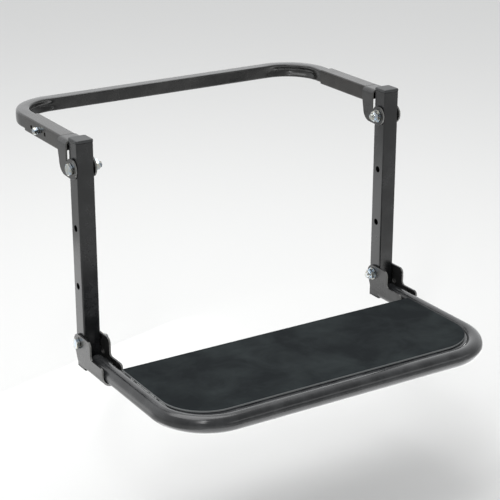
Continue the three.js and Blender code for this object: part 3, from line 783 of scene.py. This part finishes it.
pan = flat_sheet("tread_pan_sheet", tread_outline(pan_half, pan_low.y, pan_high.y, pan_corner),
                 pan_high.z - PAN_SHEET, pan_high.z)
lip_back, lip_top = pan_high.y, pan_high.z
lip_inside = lip_back - PAN_SHEET
lip_section = [(lip_inside - LIP_OVERLAP, lip_top),
               *arc(lip_back - PAN_FOLD, lip_top - PAN_FOLD, PAN_FOLD, 1, 0, 6),
               (lip_back, pan_low.z), (lip_inside, pan_low.z), (lip_inside, lip_top - PAN_SHEET),
               (lip_inside - LIP_OVERLAP, lip_top - PAN_SHEET)]
carve(pan, prism("lip", lip_section, -lip_half, lip_half, "x"), "UNION")
round_edges(pan, PAN_EDGE)
smooth(pan)
hang(pan, "step", pan_coat, "powder_coat", "tread_pan")

# ---- Tack welds ----
# Short beads of weld metal, coated over: they tie the pan's edge to the rail along the front and
# the sides, and close the rail's rear ends to the brackets' cheeks.

TACK_LENGTH = 7 * mm
BEAD_RADIUS = 1.7 * mm
BEAD_OFFSET = 0.6 * mm            # from a plate's edge or face to the middle of the bead
FRONT_TACKS_X = (-190 * mm, -60 * mm, 75 * mm, 190 * mm)
SIDE_TACKS_Y = (-400 * mm, -470 * mm)
SEAM_LENGTH = 26 * mm
SEAM_RISE = 4.5 * mm              # above the rail's axis


def weld_bead(name, points, radius, seed):
    """A rippled bead along a path of points, thin at both ends. The seed shifts its ripples."""
    rings = []
    last = len(points) - 1
    for i, point in enumerate(points):
        ahead = (points[min(i + 1, last)] - points[max(i - 1, 0)]).normalized()
        side = ahead.cross(Vector((0, 0, 1))).normalized()
        up = side.cross(ahead)
        ripple = 1 + 0.14 * math.sin(i * 2.1 + seed)
        size = radius * ripple * math.sqrt(max(1 - (2 * i / last - 1) ** 4, 0.04))
        rings.append([point + (side * math.cos(t) + up * math.sin(t)) * size
                      for t in (2 * math.pi * k / 12 for k in range(12))])
    return mesh_of(name, rings)


def join(name, pieces):
    """Joins several solids into one piece."""
    build = bmesh.new()
    for piece in pieces:
        build.from_mesh(piece.data)
        bpy.data.objects.remove(piece)
    mesh = bpy.data.meshes.new(name)
    build.to_mesh(mesh)
    build.free()
    joined = bpy.data.objects.new(name, mesh)
    bpy.context.scene.collection.objects.link(joined)
    return joined


def tack(centre, along, seed):
    """A short straight bead."""
    start = centre - along * TACK_LENGTH / 2
    return weld_bead("tack", [start + along * TACK_LENGTH * k / 10 for k in range(11)], BEAD_RADIUS, seed)


tack_x = pan_half + BEAD_OFFSET
tack_z = pan_high.z - 0.2 * mm
front_tacks = [Vector((x, pan_low.y - BEAD_OFFSET, tack_z)) for x in FRONT_TACKS_X]
side_tacks = [Vector((side * tack_x, y, tack_z)) for side in (-1, 1) for y in SIDE_TACKS_Y]
tacks = [tack(centre, Vector((1, 0, 0)), k) for k, centre in enumerate(front_tacks)]
tacks += [tack(centre, Vector((0, 1, 0)), 9 + k) for k, centre in enumerate(side_tacks)]
for side in (-1, 1):
    for cheek in (-1, 1):
        x = side * arm_x + cheek * (cheek_inner - BEAD_OFFSET)
        seam = [Vector((x, rail_high.y - SEAM_LENGTH * k / 16, rail_z + SEAM_RISE)) for k in range(17)]
        tacks.append(weld_bead("seam", seam, BEAD_RADIUS, 20 + side + 3 * cheek))
welds = join("rail_and_tread_welds", tacks)
smooth(welds, 60)
welds.data.materials.append(rail_coat)
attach(welds, "step")

# ---- Tread mat ----
# A 3.4 mm sheet of black rubber glued on the pan, its edges cut and slightly rounded. The rubber
# is matt, with a fine cloth-like grain, and dust has settled on it in soft patches.

MAT_EDGE = 0.9 * mm

mat_low, mat_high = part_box("tread_mat")
mat_half = (mat_high.x - mat_low.x) / 2
mat_corner = RAIL_BEND - (arm_x - mat_half)


def dusty_rubber():
    """Rubber sheet: matt charcoal with a cool cast. Dust lies on it, and its rounded edges are painted
    pale: a painted highlight.
    """
    material, tree, place = new_material("dusty black rubber")
    grain = add_node(tree, "ShaderNodeTexNoise", {"Vector": place, "Scale": 1 / (2.2 * mm), "Detail": 3.0})
    patches = add_node(tree, "ShaderNodeTexNoise", {"Vector": place, "Scale": 1 / (60 * mm), "Detail": 7.0,
                                                    "Roughness": 0.6, "Distortion": 0.4})
    dust = add_node(tree, "ShaderNodeMapRange", {"Value": patches.outputs["Fac"], "From Min": 0.38,
                                                 "From Max": 0.72, "To Min": 0.0, "To Max": 1.0})
    colour = add_node(tree, "ShaderNodeMix", {"Factor": dust.outputs[0], "A": to_linear("#15191b"),
                                              "B": to_linear("#262b2c")}, data_type="RGBA")
    # Painted highlight: faces that turn away from level, the mat's rounded edges, are mixed towards pale
    # grey.
    normal = add_node(tree, "ShaderNodeTexCoord").outputs["Normal"]
    facing = add_node(tree, "ShaderNodeSeparateXYZ", {"Vector": normal})
    rim = add_node(tree, "ShaderNodeMapRange", {"Value": facing.outputs["Z"], "From Min": 0.985,
                                                "From Max": 0.75, "To Min": 0.0, "To Max": 1.0})
    painted_rim_highlight = add_node(tree, "ShaderNodeMix", {"Factor": rim.outputs[0], "A": colour.outputs["Result"],
                                               "B": to_linear("#8b8e8e")}, data_type="RGBA")
    bump = add_node(tree, "ShaderNodeBump", {"Height": grain.outputs["Fac"], "Strength": 0.35,
                                             "Distance": 0.15 * mm})
    rubber = add_node(tree, "ShaderNodeBsdfPrincipled", {"Base Color": painted_rim_highlight.outputs["Result"],
                                                         "Roughness": 0.88, "IOR": 1.45,
                                                         "Specular IOR Level": 0.1,
                                                         "Normal": bump.outputs["Normal"]})
    add_node(tree, "ShaderNodeOutputMaterial", {"Surface": rubber.outputs["BSDF"]})
    return material


mat = flat_sheet("tread_mat_sheet", tread_outline(mat_half, mat_low.y, mat_high.y, mat_corner),
                 mat_low.z, mat_high.z)
round_edges(mat, MAT_EDGE)
smooth(mat)
hang(mat, "step", dusty_rubber(), "rubber", "tread_mat")

# ---- Pivot bolts, nuts and washers ----
# M10 hexagon bolts through brackets and legs, heads outside, with plain washers under locking nuts
# whose round collar grips the thread. All bright zinc plated.

BOLT_DIAMETER = 10 * mm
BOLT_PITCH = 1.5 * mm
BOLT_FLATS = 17 * mm
BOLT_HEAD = 5.6 * mm
BOLT_THREAD = 5 * mm              # cut at the tip, where it shows
NUT_COLLAR = 2.4 * mm
LOOSE_BORE = 10.6 * mm            # of nuts and washers, clear of the thread


def plain_washer(name, outer, bore, low, high):
    """A stamped washer along X, its edges softened by tumbling."""
    edge = 0.35 * mm
    rim, hole, bore_edge = outer / 2, bore / 2, 0.2 * mm
    section = [(hole + bore_edge, low), (rim - edge, low), (rim - 0.3 * edge, low + 0.3 * edge),
               (rim, low + edge), (rim, high - edge), (rim - 0.3 * edge, high - 0.3 * edge),
               (rim - edge, high), (hole + bore_edge, high),
               (hole, high - bore_edge), (hole, low + bore_edge)]
    return mesh_of(name, [circle(radius, 40, at) for radius, at in section], loop=True)


for level, body, pivot in (("top", "arms", top_pivot), ("bottom", "step", bottom_pivot)):
    bolt_low, bolt_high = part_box(f"{level}_pivot_bolt_right")
    nut_low, nut_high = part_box(f"{level}_pivot_nut_right")
    washer_low, washer_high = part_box(f"{level}_pivot_washer_right")
    bolt_tip = bolt_low.x - arm_x
    for hand, side in SIDES.items():
        bolt = hexagon_screw(f"{level}_bolt_m10_{hand}", BOLT_DIAMETER, BOLT_PITCH, BOLT_FLATS, BOLT_HEAD,
                             bolt_tip, bolt_tip + BOLT_THREAD, bolt_high.x - arm_x - BOLT_HEAD)
        nut = hexagon_nut(f"{level}_lock_nut_m10_{hand}", BOLT_FLATS, LOOSE_BORE,
                          arm_x - nut_high.x, arm_x - nut_low.x, NUT_COLLAR)
        shift(nut, 0, 0, 0, mirror=True)
        washer = plain_washer(f"{level}_plain_washer_m10_{hand}", washer_high.z - washer_low.z,
                              LOOSE_BORE, washer_low.x - arm_x, washer_high.x - arm_x)
        for piece, kind in ((bolt, "bolt"), (nut, "nut"), (washer, "washer")):
            shift(piece, side * arm_x, pivot.y, pivot.z, side < 0)
            smooth(piece, 24)
            hang(piece, body, zinc, "zinc", f"{level}_pivot_{kind}_{hand}")

# ---- Floor, light and camera ----
# A wide pale floor under soft studio light. The backdrop is bright behind the step and above it, the
# room on the camera's side is dimmer, and softboxes draw the streaks along the black tubes.

FLOOR_SIZE = 14.0
FLOOR_DROP = 0.22                 # the step hangs clear of the floor, held by its frame
ROOM_STRENGTH = 0.5
BACKDROP_STRENGTH = 1.5


def pale_floor():
    """Emulsion paint rolled on board: pale grey and matt, with almost no sheen."""
    material, tree, _ = new_material("pale floor")
    paint = add_node(tree, "ShaderNodeBsdfPrincipled", {"Base Color": to_linear("#d6d6d5"),
                                                        "Roughness": 0.9, "Specular IOR Level": 0.2})
    add_node(tree, "ShaderNodeOutputMaterial", {"Surface": paint.outputs["BSDF"]})
    return material


half_floor = FLOOR_SIZE / 2
floor_z = cad_low.z - FLOOR_DROP
floor_mesh = bpy.data.meshes.new("floor")
corners = ((-1, -1), (1, -1), (1, 1), (-1, 1))
floor_mesh.from_pydata([(x * half_floor, y * half_floor, floor_z) for x, y in corners], [], [(0, 1, 2, 3)])
floor_mesh.materials.append(pale_floor())
floor = bpy.data.objects.new("floor", floor_mesh)
bpy.context.scene.collection.objects.link(floor)

world = bpy.data.worlds.new("studio")
bpy.context.scene.world = world
world.use_nodes = True
sky = world.node_tree
sky.nodes.clear()
direction = add_node(sky, "ShaderNodeTexCoord").outputs["Generated"]
axes = add_node(sky, "ShaderNodeSeparateXYZ", {"Vector": direction})
behind = add_node(sky, "ShaderNodeMapRange", {"Value": axes.outputs["Y"], "From Min": -0.6, "From Max": 0.7,
                                              "To Min": ROOM_STRENGTH, "To Max": BACKDROP_STRENGTH},
                  interpolation_type="SMOOTHSTEP")
backdrop = add_node(sky, "ShaderNodeBackground", {"Color": to_linear("#f4f5f6"),
                                                  "Strength": behind.outputs[0]})
add_node(sky, "ShaderNodeOutputWorld", {"Surface": backdrop.outputs["Background"]})


def softbox(name, place, target, width, height, power):
    """A rectangular light of so many watts that faces its target. The camera doesn't see it."""
    light = bpy.data.lights.new(name, "AREA")
    light.shape = "RECTANGLE"
    light.size, light.size_y, light.energy = width, height, power
    lamp = bpy.data.objects.new(name, light)
    lamp.location = place
    lamp.rotation_euler = (Vector(target) - Vector(place)).to_track_quat("-Z", "Y").to_euler()
    lamp.visible_camera = False
    bpy.context.scene.collection.objects.link(lamp)


middle = (cad_low + cad_high) / 2
# Top faces, then the left-hand faces from low behind, then the rail's front and its underside, and
# last the narrow streaks on the bends.
softbox("overhead softbox", middle + Vector((-0.2, 0.5, 2.2)), middle, 2.4, 1.6, 40)
softbox("low panel", (-0.33, 0.17, -0.49), (-0.1, -0.6, -0.15), 1.0, 0.32, 1.0)
softbox("front strip", middle + Vector((1.25, -2.1, 0.55)), middle, 2.6, 0.3, 5)
softbox("floor bounce", (0.13, -0.62, floor_z + 0.01), (0.13, -0.62, 0), 1.1, 0.62, 4.5)
softbox("strip light", middle + Vector((-1.3, -1.5, 2.0)), middle, 0.16, 1.6, 16)

CAMERA_AZIMUTH = -31.7
CAMERA_ELEVATION = 20.6
CAMERA_DISTANCE = 2.716
CAMERA_LENS = 109.8
aim = Vector((0.1277, -0.0805, -0.3098))
azimuth, elevation = math.radians(CAMERA_AZIMUTH), math.radians(CAMERA_ELEVATION)
back_to_camera = Vector((math.sin(azimuth) * math.cos(elevation),
                         -math.cos(azimuth) * math.cos(elevation), math.sin(elevation)))
lens = bpy.data.cameras.new("camera")
lens.lens = CAMERA_LENS
lens.sensor_width = 36
camera = bpy.data.objects.new("camera", lens)
camera.location = aim + back_to_camera * CAMERA_DISTANCE
camera.rotation_euler = (-back_to_camera).to_track_quat("-Z", "Y").to_euler()
bpy.context.scene.collection.objects.link(camera)
bpy.context.scene.camera = camera
bpy.context.scene.view_settings.view_transform = "Standard"
